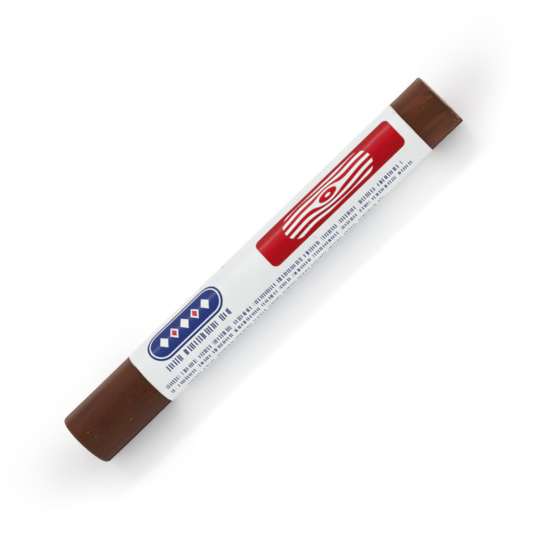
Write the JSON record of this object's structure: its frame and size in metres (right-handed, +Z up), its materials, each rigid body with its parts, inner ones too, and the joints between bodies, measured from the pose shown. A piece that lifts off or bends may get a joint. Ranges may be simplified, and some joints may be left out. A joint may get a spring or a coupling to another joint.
{
  "type": "furniture repair wax stick",
  "caption": "Round stick of brown filler wax with a rounded end, a cut end and a printed paper label wrapped round its middle.",
  "frame": {"origin": "under the middle of the stick's length and width, on the surface that the label rests on", "axes": "+X along the stick towards the cut end, +Z up, and the print on the label faces -Y and up"},
  "size_m": [0.0888, 0.0112, 0.0113],
  "materials": {
    "brown_wax": "soft satin wax, moulded skin with fine streaks",
    "coated_label_paper": "white coated paper, printed, with a soft gloss",
    "label_glue": "dried clear glue"
  },
  "bodies": {
    "root": {"wax_stick": "brown_wax", "wrap_label": "coated_label_paper", "lap_glue": "label_glue"}
  },
  "joints": []
}
